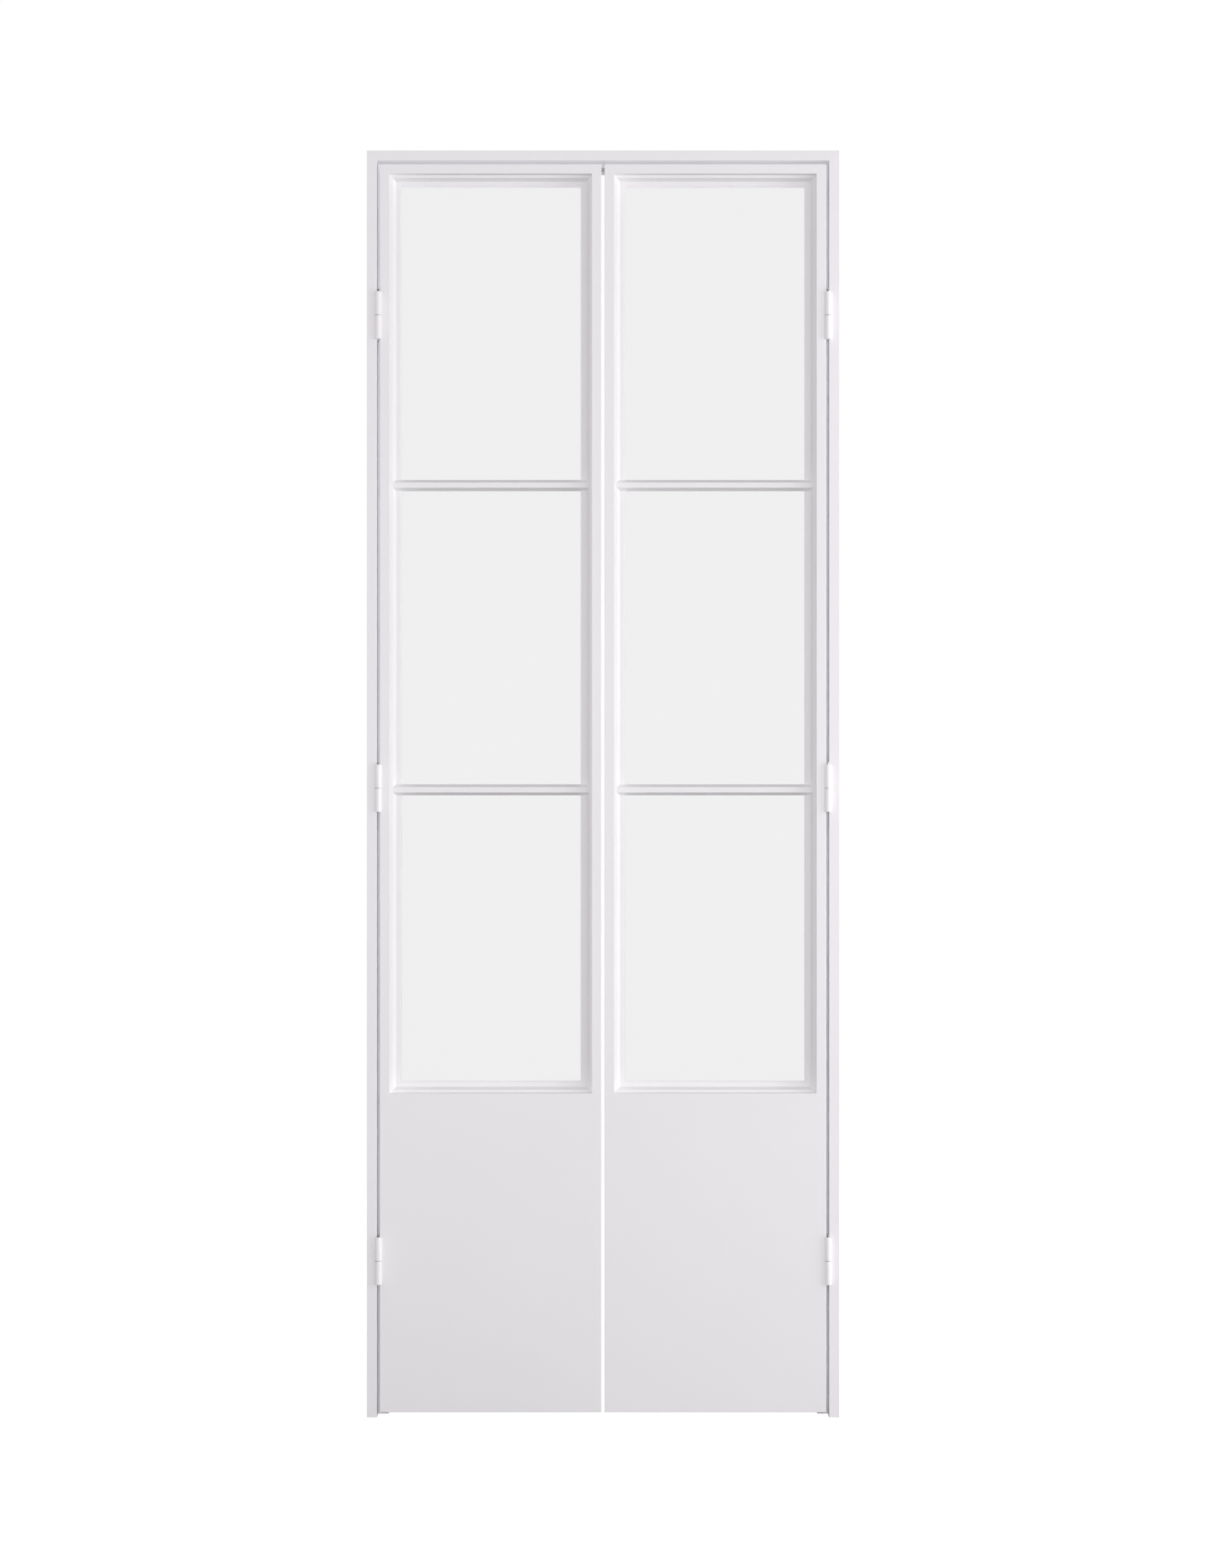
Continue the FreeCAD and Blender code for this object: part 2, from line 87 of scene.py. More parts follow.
# %% Helpers for node graphs
def add_node(tree, kind, inputs=None, **settings):
    """One node. Inputs maps a socket's name or number to a value or to another node's output."""
    node = tree.nodes.new(kind)
    for setting, value in settings.items():
        setattr(node, setting, value)
    for socket, value in (inputs or {}).items():
        if isinstance(value, bpy.types.NodeSocket):
            tree.links.new(value, node.inputs[socket])
        else:
            node.inputs[socket].default_value = value
    return node


def add(tree, kind, inputs=None, **settings):
    """One shader node."""
    return add_node(tree, "ShaderNode" + kind, inputs, **settings)


def maths(tree, operation, first, second):
    """The output of one Math node."""
    return add(tree, "Math", {0: first, 1: second}, operation=operation).outputs["Value"]


def spread(tree, value, low, high, to_low, to_high):
    """The output of a Map Range node, held inside its range."""
    ranges = {"Value": value, "From Min": low, "From Max": high, "To Min": to_low, "To Max": to_high}
    return add(tree, "MapRange", ranges).outputs["Result"]


def stretched(tree, value, low, high):
    """The part of a value between two levels, stretched to run from zero to one."""
    return spread(tree, value, low, high, 0.0, 1.0)


def between(tree, mask, low, high):
    """A number between two, chosen by a mask."""
    return spread(tree, mask, 0.0, 1.0, low, high)


def tone_between(tree, mask, low, high):
    """A colour between two, chosen by a mask."""
    ends = {"Factor": mask, "A": (*low, 1.0), "B": (*high, 1.0)}
    return add(tree, "Mix", ends, data_type="RGBA").outputs["Result"]


print("helpers for node graphs are ready")

# %% [markdown]
# ## Studio surround
# The door stands before pure white, yet its own shadows are soft and clearly grey, so the white that the
# camera sees is stronger than the light that reaches the paint. A Light Path node tells the two apart: a
# ray that comes straight from the camera, or through glass alone, meets white, and any ray that has left
# the paint meets a gentle surround, brightest at the horizon, dimmer overhead and dark below. That dims the
# bevels that face up and down. The white faces read as a very faint violet, green a little lower than red
# and blue, so the surround and all lamps but one have that tint.

# %% White backdrop and soft surround
studio_tint = (1.0, 0.970, 0.998)
pure_white = (1.0, 1.0, 1.0)
backdrop_light = 1.0
horizon_light = 0.645
zenith_light = 0.42
nadir_light = 0.0
half_a_bounce = 0.5


def straight_ray(tree):
    """One for a ray from the camera that has met nothing but glass, otherwise zero."""
    rays = add(tree, "LightPath").outputs
    seen = maths(tree, "MAXIMUM", rays["Is Camera Ray"], rays["Is Transmission Ray"])
    bounces = maths(tree, "ADD", rays["Diffuse Depth"], rays["Glossy Depth"])
    return maths(tree, "MULTIPLY", seen, maths(tree, "LESS_THAN", bounces, half_a_bounce))


world = bpy.data.worlds.new("studio_surround")
world.use_nodes = True
scene.world = world
sky = world.node_tree
sky.nodes.clear()
sky_height = add(sky, "SeparateXYZ", {"Vector": add(sky, "TexCoord").outputs["Generated"]}).outputs["Z"]
above = between(sky, sky_height, horizon_light, zenith_light)
below = spread(sky, sky_height, -1.0, 0.0, nadir_light - horizon_light, 0.0)
surround = maths(sky, "ADD", above, below)
sky_seen = straight_ray(sky)
sky_tone = tone_between(sky, sky_seen, studio_tint, pure_white)
sky_light = add(sky, "Mix", {"Factor": sky_seen, "A": surround, "B": backdrop_light}).outputs["Result"]
backdrop = add(sky, "Background", {"Color": sky_tone, "Strength": sky_light})
add(sky, "OutputWorld", {"Surface": backdrop.outputs["Background"]})
print("surround", zenith_light, "overhead,", horizon_light, "at the horizon,", nadir_light, "below")

# %% [markdown]
# ## Key lights
# The bevels that face right are almost white, those that face left lie in shade, and each hinge barrel
# throws a shadow to its left, dark beside the barrel and faint further on. One lamp can't do all that, so
# two panels stand on the right. A wide one at forty-five degrees throws the short shadow. A second rakes
# across the door, ten degrees in front of its plane, and lights little but what faces right. Sun lamps
# would give hard shadow edges. Light linking lets a lamp pass by a solid. The panes are left out, because
# the outline of a panel would show in the glass as a hard-edged patch when the view turns. The raking light
# leaves out the right jamb, whose outer side it would bleach, and shines through the hinges, whose shadows
# it would draw out across the flat faces.

# %% Soft panels on the right
def soft_panel(name, place, aim, width, height, power):
    """A rectangular lamp that faces a point."""
    lamp_data = bpy.data.lights.new(name, "AREA")
    lamp_data.shape = "RECTANGLE"
    lamp_data.size = width
    lamp_data.size_y = height
    lamp_data.energy = power
    lamp_data.color = studio_tint
    lamp = bpy.data.objects.new(name, lamp_data)
    lamp.location = place
    lamp.rotation_euler = (Vector(aim) - Vector(place)).to_track_quat("-Z", "Y").to_euler()
    scene.collection.objects.link(lamp)
    return lamp


def only(title, *names):
    """A collection of a few solids, for a lamp's list."""
    chosen = bpy.data.collections.new(title)
    for name in names:
        chosen.objects.link(nodes[name])
    return chosen


def all_but(title, *names):
    """A collection that stands for everything except a few solids."""
    spared = only(title, *names)
    for linked in spared.collection_objects:
        linked.light_linking.link_state = "EXCLUDE"
    return spared


door_middle = (0.0, -0.05, 1.3)
panes = ("left_glass", "right_glass")
barrels = [name for name in nodes if name.endswith(("hinge_halves", "hinge_pins", "hinge_washers"))]
key_panel = soft_panel("key_panel", (3.6, -3.65, 1.2), door_middle, width=4.4, height=2.6, power=57.0)
rake_panel = soft_panel("rake_panel", (5.0, -0.95, 1.2), door_middle, width=3.0, height=2.6, power=132.0)
key_panel.light_linking.receiver_collection = all_but("key_spares", *panes)
rake_panel.light_linking.receiver_collection = all_but("rake_spares", *panes, "right_jamb")
rake_panel.light_linking.blocker_collection = all_but("rake_shadow_spares", *barrels)
print("key and raking panel,", key_panel.data.energy, "and", rake_panel.data.energy, "watts")
print("no raking shadow from", barrels)

# %% [markdown]
# ## Fill lights
# A tall, narrow panel behind the camera lights the flat faces. A weak one on the left lifts the shade,
# where bevels and flats are equally grey. A third, behind the door, keeps the back from going dull when the
# view turns, and a fourth gives the front of the right jamb what the raking light left out. A lamp would
# show as a bright shape in the glass, so these are hidden from reflections.

# %% Panels in front, on the left, behind and for the right jamb
def hide_lamp(lamp):
    """Leaves a lamp's light, and takes the lamp itself out of the picture and the reflections."""
    lamp.visible_glossy = False
    lamp.visible_camera = False
    lamp.visible_transmission = False
    print(lamp.name, lamp.data.energy, "watts")


front_panel = soft_panel("front_panel", (0.0, -7.0, 1.25), door_middle, width=0.8, height=2.3, power=40.0)
shade_panel = soft_panel("shade_panel", (-3.6, -3.6, 1.2), door_middle, width=2.2, height=2.6, power=26.0)
back_panel = soft_panel("back_panel", (-1.5, 6.5, 1.5), door_middle, width=2.0, height=2.3, power=190.0)
jamb_panel = soft_panel("jamb_panel", (0.3, -7.0, 1.25), door_middle, width=0.8, height=2.3, power=58.0)
jamb_panel.light_linking.receiver_collection = only("bleached_jamb", "right_jamb")
for fill_panel in (front_panel, shade_panel, back_panel, jamb_panel):
    hide_lamp(fill_panel)

# %% [markdown]
# ## Light in the gaps
# The gaps round the leaves are lighter than paint can make so deep a slot, and no darker above and below
# the hinges than elsewhere. More light from the front would also wash out the bevels, so two lamps are kept
# to the gaps by light linking. One stands high in front and reaches nothing but the stops and seals at the
# bottom of the side gaps, and the edge of the tape, which lies as deep beside the glass. It is a little
# bluer than the rest, as the gaps are, and stands on the left, because the keys already help the right gap.
# The other stands in the doorway and reaches only the underside of the head, which is what shows in the top
# gap. Leaves and hinges would close the way, so a blocker list lets only the pieces that are lit throw a
# shadow in that light.

# %% Lamps for the side gaps, the tape and the top gap
gap_tint = (0.95, 0.94, 1.05)
gap_aim = (0.0, -0.05, 1.5)
head_aim = (0.0, 0.0, 2.4)
deep_pieces = ("left_stop", "right_stop", "stop_seals", "left_glazing_tape", "right_glazing_tape")


def keep_to(lamp, pieces):
    """Lets a lamp light a few solids alone, and lets nothing else stand in its way."""
    lamp.light_linking.receiver_collection = pieces
    lamp.light_linking.blocker_collection = pieces
    hide_lamp(lamp)


gap_panel = soft_panel("gap_panel", (-1.5, -4.5, 3.5), gap_aim, width=0.8, height=1.6, power=56.0)
gap_panel.data.color = gap_tint
keep_to(gap_panel, only("deep_pieces", *deep_pieces))
head_panel = soft_panel("head_panel", (0.0, 0.0, 0.6), head_aim, width=0.85, height=0.05, power=2.4)
keep_to(head_panel, only("head", "head_jamb"))

# %% [markdown]
# ## Floor
# The door stands on a plain, level floor, which throws light back up at it. Blender's own menu could add a
# plane, but a menu command depends on what is selected at the time, so the grid is made directly as a mesh.

# %% Pale floor
floor_half = 3.0
floor_cells = 24
floor_shift = 0.6
floor_mesh = bpy.data.meshes.new("studio_floor")
floor_form = bmesh.new()
bmesh.ops.create_grid(floor_form, x_segments=floor_cells, y_segments=floor_cells, size=floor_half)
floor_form.to_mesh(floor_mesh)
floor_form.free()
floor = bpy.data.objects.new("studio_floor", floor_mesh)
floor.location = (0.0, floor_shift, 0.0)
scene.collection.objects.link(floor)
print("floor", [round(value, 2) for value in floor.dimensions])

# %% [markdown]
# ## Floor finish
# The floor is pale, and has to fade into the white behind it, also where it is seen through the glass.
# Paint alone would turn grey in the shade of the door. So the floor passes light on to the door as a pale
# floor does, while to the camera it is nearly all glow, almost as bright as the backdrop, and only the
# little light that it still reflects shows the deepest shade close to the door. The same test as in the
# surround tells the two apart and keeps the glow from lighting the door.

# %% Finish: pale floor
noise_low = 0.3
noise_high = 0.7
floor_dark = 0.34
floor_light = 0.38
shown_share = 0.1
shown_glow = 0.965


def start_finish(name):
    """A material with a bare Principled shader."""
    material = bpy.data.materials.new(name)
    material.use_nodes = True
    return material, material.node_tree, material.node_tree.nodes["Principled BSDF"]


floor_finish, floor_tree, floor_shader = start_finish("pale_floor")
floor_place = add(floor_tree, "TexCoord").outputs["Object"]
cloudy = add(floor_tree, "TexNoise", {"Vector": floor_place, "Scale": 1.5}).outputs["Fac"]
floor_tone = spread(floor_tree, cloudy, noise_low, noise_high, floor_dark, floor_light)
floor_seen = straight_ray(floor_tree)
tone_share = between(floor_tree, floor_seen, 1.0, shown_share)
floor_tree.links.new(maths(floor_tree, "MULTIPLY", floor_tone, tone_share), floor_shader.inputs["Base Color"])
floor_shader.inputs["Roughness"].default_value = 0.8
floor_shader.inputs["Emission Color"].default_value = (*pure_white, 1.0)
floor_glow = maths(floor_tree, "MULTIPLY", floor_seen, shown_glow)
floor_tree.links.new(floor_glow, floor_shader.inputs["Emission Strength"])
floor_mesh.materials.append(floor_finish)
print("floor finish", floor_finish.name)

# %% [markdown]
# ## Paint skin
# Powder coat melts into a skin with a faint orange peel, a couple of millimetres from crest to crest, and
# its gloss drifts a little over a big panel. A picture of it would need mapping onto every solid. Noise
# that reads the place in the door itself needs none, and runs on without a break from one solid to the
# next. The paint of the door and the enamel of the hinges share it, so it is a node group.

# %% Group: paint skin
peel_low = 0.25
peel_high = 0.75


def start_group(name, inputs, outputs):
    """A shader node group with named number inputs and outputs."""
    tree = bpy.data.node_groups.new(name, "ShaderNodeTree")
    for label, value in inputs.items():
        socket = tree.interface.new_socket(label, in_out="INPUT", socket_type="NodeSocketFloat")
        socket.default_value = value
    for label in outputs:
        tree.interface.new_socket(label, in_out="OUTPUT", socket_type="NodeSocketFloat")
    return tree, tree.nodes.new("NodeGroupInput").outputs, tree.nodes.new("NodeGroupOutput").inputs


def cloud(tree, place, size, detail):
    """Noise with features of a size in metres, given as a number or an output."""
    scale = maths(tree, "DIVIDE", 1.0, size)
    return add(tree, "TexNoise", {"Vector": place, "Scale": scale, "Detail": detail}).outputs["Fac"]


skin, skin_in, skin_out = start_group(
    "paint_skin", {"Peel Size": 0.0022, "Drift Size": 0.4}, ("Peel", "Drift"))
skin_place = add(skin, "TexCoord").outputs["Object"]
peel = cloud(skin, skin_place, skin_in["Peel Size"], detail=1.0)
drift = cloud(skin, skin_place, skin_in["Drift Size"], detail=3.0)
skin.links.new(stretched(skin, peel, peel_low, peel_high), skin_out["Peel"])
skin.links.new(stretched(skin, drift, noise_low, noise_high), skin_out["Drift"])
print("paint skin group has", len(skin.nodes), "nodes")

# %% [markdown]
# ## White coats
# The powder coat is a clean satin white, and the gaps round the leaves stay light and a shade bluer than
# the faces. Each bounce between white walls multiplies the colour of the paint, so the paint itself is very
# light and only just blue, and the faint violet of the picture is left to the lamps. The hinges are
# enamelled apart from the door, and are smoother and glossier, so the same recipe makes two finishes.

# %% Finishes: powder coat and hinge enamel
duller_white = (0.952, 0.952, 0.958)
purer_white = (0.968, 0.968, 0.974)
peel_depth = 0.00002
peel_strength = 0.6


def feed(tree, shader, colour, roughness, height, depth, strength):
    """Links a colour, a roughness and bumps of a depth in metres to a shader."""
    relief = add(tree, "Bump", {"Height": height, "Distance": depth, "Strength": strength})
    tree.links.new(colour, shader.inputs["Base Color"])
    tree.links.new(roughness, shader.inputs["Roughness"])
    tree.links.new(relief.outputs["Normal"], shader.inputs["Normal"])


def white_coat(name, peel_size, smoothest, roughest):
    """White paint with orange peel of a size in metres and a gloss that drifts."""
    material, tree, shader = start_finish(name)
    coat = add(tree, "Group", {"Peel Size": peel_size}, node_tree=skin).outputs
    tone = tone_between(tree, coat["Drift"], duller_white, purer_white)
    roughness = between(tree, coat["Drift"], smoothest, roughest)
    feed(tree, shader, tone, roughness, coat["Peel"], peel_depth, peel_strength)
    return material


door_coat = white_coat("white_powder_coat", peel_size=0.0022, smoothest=0.40, roughest=0.48)
hinge_enamel = white_coat("white_hinge_enamel", peel_size=0.0012, smoothest=0.20, roughest=0.28)
print("white coats", door_coat.name, "and", hinge_enamel.name)

# %% [markdown]
# ## Films
# Thin films lie on most of the small parts in soft-edged patches: old grease on the pins, tarnish on the
# brass, tints on the zinc, mill oil on bare steel, and wipe marks on the glass. They differ in size and in
# how much they cover, not in kind, so one group makes them: noise, cut at a level that follows the cover.

# %% Group: film patches
film_fade = 0.15
film, film_in, film_out = start_group("film_patches", {"Patch Size": 0.01, "Cover": 0.5}, ("Film",))
blotches = cloud(film, add(film, "TexCoord").outputs["Object"], film_in["Patch Size"], detail=4.0)
film_edge = between(film, film_in["Cover"], noise_high, noise_low)
film_core = maths(film, "ADD", film_edge, film_fade)
film.links.new(stretched(film, blotches, film_edge, film_core), film_out["Film"])
print("film group has", len(film.nodes), "nodes")

# %% [markdown]
# ## Pane
# The glass is plain float glass, four millimetres thick, and shows a light even grey. The shader's
# transmission bends and reflects light by itself, which a see-through mix would not. Lamps would not get
# through it, so a Light Path node lets their rays pass. A cleaned pane is never quite even: broad wipe
# marks are a trace rougher than the rest.

# %% Finish: pane
glass_tone = (0.894, 0.894, 0.894, 1.0)
glass_shade = (0.85, 0.85, 0.85, 1.0)
wipe_roughness = 0.02
pane, pane_tree, pane_shader = start_finish("pantry_pane")
pane_shader.inputs["Base Color"].default_value = glass_tone
pane_shader.inputs["Transmission Weight"].default_value = 1.0
pane_shader.inputs["IOR"].default_value = 1.5
wipes = add(pane_tree, "Group", {"Patch Size": 0.12, "Cover": 0.45}, node_tree=film).outputs["Film"]
pane_tree.links.new(between(pane_tree, wipes, 0.0, wipe_roughness), pane_shader.inputs["Roughness"])
lamp_ray = add(pane_tree, "LightPath").outputs["Is Shadow Ray"]
open_air = add(pane_tree, "BsdfTransparent", {"Color": glass_shade}).outputs["BSDF"]
pane_mix = add(pane_tree, "MixShader", {0: lamp_ray, 1: pane_shader.outputs["BSDF"], 2: open_air})
pane_tree.links.new(pane_mix.outputs["Shader"], pane_tree.nodes["Material Output"].inputs["Surface"])
print("pane", pane.name)

# %% [markdown]
# ## Pores
# Foam tape has open cells along its cut edge, rubber has a fine dusty bloom, moulded plastic copies the
# sparked skin of its mould, powder that drifts into the frame lands on bare steel as specks, and a weld is
# finely pitted. All are small cells set at random, so a Voronoi texture serves them all: the distance to a
# cell's middle makes pits, and each cell has a tone.

# %% Group: pores
pit_middle = 0.1
pit_rim = 0.6
pores, pores_in, pores_out = start_group("fine_pores", {"Cell Size": 0.0006}, ("Pit", "Tone"))
pores_place = add(pores, "TexCoord").outputs["Object"]
cell_scale = maths(pores, "DIVIDE", 1.0, pores_in["Cell Size"])
cells = add(pores, "TexVoronoi", {"Vector": pores_place, "Scale": cell_scale}).outputs
cell_tone = add(pores, "SeparateColor", {"Color": cells["Color"]}).outputs["Red"]
pores.links.new(stretched(pores, cells["Distance"], pit_middle, pit_rim), pores_out["Pit"])
pores.links.new(cell_tone, pores_out["Tone"])
print("pores group has", len(pores.nodes), "nodes")

# %% [markdown]
# ## Foam tape, rubber seal and catch plastic
# The pane is bedded on light grey foam tape, a little darker than the paint, which shows as a thin line round
# each lite. The stops carry a strip of mid-grey rubber that the leaves close against. In the middle gap under
# the head, where there is only shade behind the leaves, its grey gives that darker band, so it is partly
# painted shade. The catches behind the head stop are moulded in off-white plastic. None of the three needs
# more than cells that change the tone, the roughness and the height together.

# %% Finishes: foam tape, rubber seal and catch plastic
cell_strength = 0.5


def celled(name, cell_size, darkest, palest, smoothest, roughest, depth):
    """A dull finish of fine cells, with pits of a depth in metres."""
    material, tree, shader = start_finish(name)
    cell = add(tree, "Group", {"Cell Size": cell_size}, node_tree=pores).outputs
    tone = tone_between(tree, cell["Tone"], darkest, palest)
    roughness = between(tree, cell["Pit"], roughest, smoothest)
    feed(tree, shader, tone, roughness, cell["Pit"], depth, cell_strength)
    return material


tape_foam = celled("tape_foam", cell_size=0.0006, darkest=(0.77, 0.77, 0.77), palest=(0.85, 0.85, 0.85),
                   smoothest=0.75, roughest=0.95, depth=0.0002)
# The seal's grey is the rubber's own and also painted shade: it gives the darker band in the middle gap under
# the head.
seal_rubber_and_painted_shade = celled("seal_rubber_and_painted_shade", cell_size=0.00025, darkest=(0.42, 0.42, 0.43), palest=(0.50, 0.50, 0.51),
                     smoothest=0.6, roughest=0.85, depth=0.00005)
catch_skin = celled("catch_plastic_skin", cell_size=0.0004, darkest=(0.78, 0.77, 0.75),
                    palest=(0.83, 0.82, 0.80), smoothest=0.42, roughest=0.55, depth=0.00003)
print("celled finishes", tape_foam.name, seal_rubber_and_painted_shade.name, catch_skin.name)

# %% [markdown]
# ## Grain
# Drawn, turned and rolled metal keeps the marks of its tool as long fine lines: along a pin, round a
# washer, down a rolled sheet. A brushed picture would need a direction map. Noise squeezed across the lines
# and drawn out along them gives the same, and the three sizes of a group choose the direction for each
# metal.

# %% Group: stretched grain
grain, grain_in, grain_out = start_group(
    "stretched_grain", {"X Size": 0.0003, "Y Size": 0.0003, "Z Size": 0.02}, ("Grain",))
grain_sizes = add(grain, "CombineXYZ", {axis: grain_in[axis + " Size"] for axis in "XYZ"}).outputs["Vector"]
grain_terms = {0: add(grain, "TexCoord").outputs["Object"], 1: grain_sizes}
grain_place = add(grain, "VectorMath", grain_terms, operation="DIVIDE").outputs["Vector"]
tool_lines = add(grain, "TexNoise", {"Vector": grain_place, "Scale": 1.0, "Detail": 3.0}).outputs["Fac"]
grain.links.new(stretched(grain, tool_lines, noise_low, noise_high), grain_out["Grain"])
print("grain group has", len(grain.nodes), "nodes")

# %% [markdown]
# ## Washers, pins and screws
# Three bright metals hold the door together. The thrust washers between the knuckles are turned brass under
# a thin nickel plate, because the line that they draw in the photograph is grey and not yellow. The pins
# are drawn steel with a dark film of old grease, which shows at their tips. The screws are zinc plated,
# with the faint straw and blue tint of the bath. One recipe serves: grain under a film, with the film
# duller and of another colour.

# %% Finishes: plated brass, pin steel and zinc
line_roughness = 0.06
line_depth = 0.00003
line_strength = 0.6


def filmed_metal(name, lines, patch_size, cover, bright, filmed, rough_bright, rough_filmed):
    """Tooled metal with lines of given X, Y and Z sizes, under a patchy film."""
    material, tree, shader = start_finish(name)
    shader.inputs["Metallic"].default_value = 1.0
    line_sizes = {axis + " Size": size for axis, size in zip("XYZ", lines)}
    tooled = add(tree, "Group", line_sizes, node_tree=grain).outputs["Grain"]
    covered = add(tree, "Group", {"Patch Size": patch_size, "Cover": cover}, node_tree=film).outputs["Film"]
    tone = tone_between(tree, covered, bright, filmed)
    worn = between(tree, tooled, -line_roughness, line_roughness)
    dulled = between(tree, covered, rough_bright, rough_filmed)
    feed(tree, shader, tone, maths(tree, "ADD", dulled, worn), tooled, line_depth, line_strength)
    return material


washer_brass = filmed_metal(
    "plated_brass", lines=(0.02, 0.02, 0.00012), patch_size=0.004, cover=0.5,
    bright=(0.66, 0.63, 0.60), filmed=(0.47, 0.43, 0.38), rough_bright=0.24, rough_filmed=0.42)
pin_metal = filmed_metal(
    "drawn_pin_steel", lines=(0.0003, 0.0003, 0.012), patch_size=0.004, cover=0.55,
    bright=(0.50, 0.49, 0.48), filmed=(0.22, 0.195, 0.175), rough_bright=0.26, rough_filmed=0.50)
screw_zinc = filmed_metal(
    "zinc_plate", lines=(0.002, 0.002, 0.0002), patch_size=0.006, cover=0.5,
    bright=(0.70, 0.72, 0.75), filmed=(0.70, 0.67, 0.58), rough_bright=0.28, rough_filmed=0.36)
print("bright metals", washer_brass.name, pin_metal.name, screw_zinc.name)

# %% [markdown]
# ## Bare sheet steel
# The cleats, clips, backing plates and stiffeners sit inside the frame and the leaves, where little paint
# gets to. They are rolled sheet: lines from the mill, darker patches of oil, and a mist of white powder
# that drifted in. The mist is matt paint and not metal, so one mask turns down the metal, raises the
# roughness and whitens the colour.

# %% Finish: bare sheet steel
clean_steel = (0.56, 0.56, 0.57)
oily_steel = (0.36, 0.35, 0.34)
mist_white = (0.86, 0.84, 0.86, 1.0)
rolled_smooth = 0.34
rolled_rough = 0.48
rolled_strength = 0.5
speck_low = 0.35
speck_high = 0.6
speck_cover = 0.8
thinnest_mist = 0.35
mist_roughness = 0.3
sheet_steel, sheet_tree, sheet_shader = start_finish("bare_sheet_steel")
rolled_sizes = {"X Size": 0.0006, "Y Size": 0.0006, "Z Size": 0.03}
rolled = add(sheet_tree, "Group", rolled_sizes, node_tree=grain).outputs["Grain"]
oiled = add(sheet_tree, "Group", {"Patch Size": 0.025, "Cover": 0.45}, node_tree=film).outputs["Film"]
specks = add(sheet_tree, "Group", {"Cell Size": 0.0005}, node_tree=pores).outputs["Tone"]
drifted = add(sheet_tree, "Group", {"Patch Size": 0.05, "Cover": 0.6}, node_tree=film).outputs["Film"]
speckled = spread(sheet_tree, specks, speck_low, speck_high, 0.0, speck_cover)
mist = maths(sheet_tree, "MULTIPLY", speckled, between(sheet_tree, drifted, thinnest_mist, 1.0))
steel_tone = tone_between(sheet_tree, oiled, clean_steel, oily_steel)
mist_ends = {"Factor": mist, "A": steel_tone, "B": mist_white}
misted_tone = add(sheet_tree, "Mix", mist_ends, data_type="RGBA").outputs["Result"]
steel_rough = between(sheet_tree, rolled, rolled_smooth, rolled_rough)
misted_rough = maths(sheet_tree, "ADD", steel_rough, maths(sheet_tree, "MULTIPLY", mist, mist_roughness))
feed(sheet_tree, sheet_shader, misted_tone, misted_rough, rolled, line_depth, rolled_strength)
sheet_tree.links.new(between(sheet_tree, mist, 1.0, 0.0), sheet_shader.inputs["Metallic"])
print("sheet steel", sheet_steel.name)

# %% [markdown]
# ## Dressing the solids
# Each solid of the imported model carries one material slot, and the slot's material has the name that the
# part's record gives it. Going by that name dresses all solids at once, and a solid that was forgotten
# would stop the script. The hinge halves are the one exception, because they have an enamel of their own.

# %% Finish of each solid
finishes = {
    "white_paint": door_coat, "clear_glass": pane, "glazing_tape": tape_foam, "grey_seal": seal_rubber_and_painted_shade,
    "brass": washer_brass, "pin_steel": pin_metal, "zinc_steel": screw_zinc, "raw_steel": sheet_steel,
    "catch_plastic": catch_skin,
}
for name, solid in nodes.items():
    slot = solid.material_slots[0]
    slot.material = hinge_enamel if name.endswith("_hinge_halves") else finishes[slot.material.name]
print(len(nodes), "nodes in", len(finishes) + 1, "finishes")

# %% [markdown]
# ## Eased edges
# Folded sheet and rolled bar never end in a razor edge, and a thin highlight along an edge is what makes it
# look like metal. A Bevel modifier gives that without touching the solid. Left alone it would also cut a
# groove at every mitre, where the real joint is welded flush, so it must pick its edges. Three modifiers
# help it. A Weld joins the faces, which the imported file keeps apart. A Decimate merges the triangles of
# each flat face. A small node tree then marks only edges that are sharp and longer than a mitre, for the
# bevel to find.

# %% Node tree that marks long edges
sharp_angle = math.radians(20)
marking = bpy.data.node_groups.new("mark_long_edges", "GeometryNodeTree")
marking.interface.new_socket("Geometry", in_out="INPUT", socket_type="NodeSocketGeometry")
shortest_socket = marking.interface.new_socket("Shortest", in_out="INPUT", socket_type="NodeSocketFloat")
marking.interface.new_socket("Geometry", in_out="OUTPUT", socket_type="NodeSocketGeometry")


def mark(kind, inputs=None, **settings):
    """The outputs of one node of the marking tree."""
    return add_node(marking, kind, inputs, **settings).outputs


given = mark("NodeGroupInput")
tips = mark("GeometryNodeInputMeshEdgeVertices")
edge_tips = {0: tips["Position 1"], 1: tips["Position 2"]}
edge_length = mark("ShaderNodeVectorMath", edge_tips, operation="DISTANCE")["Value"]
is_long = mark("ShaderNodeMath", {0: edge_length, 1: given["Shortest"]}, operation="GREATER_THAN")["Value"]
fold = mark("GeometryNodeInputMeshEdgeAngle")["Unsigned Angle"]
is_sharp = mark("ShaderNodeMath", {0: fold, 1: sharp_angle}, operation="GREATER_THAN")["Value"]
is_eased = mark("ShaderNodeMath", {0: is_long, 1: is_sharp}, operation="MULTIPLY")["Value"]
flat_inputs = {"Mesh": given["Geometry"], "Remove Custom": True, "Face Sharpness": True}
flat = mark("GeometryNodeSetMeshNormal", flat_inputs, mode="SHARPNESS")["Mesh"]
mark_inputs = {"Geometry": flat, "Name": "bevel_weight_edge", "Value": is_eased}
marked = mark("GeometryNodeStoreNamedAttribute", mark_inputs, data_type="FLOAT", domain="EDGE")["Geometry"]
mark("NodeGroupOutput", {"Geometry": marked})
print("marking tree has", len(marking.nodes), "nodes")

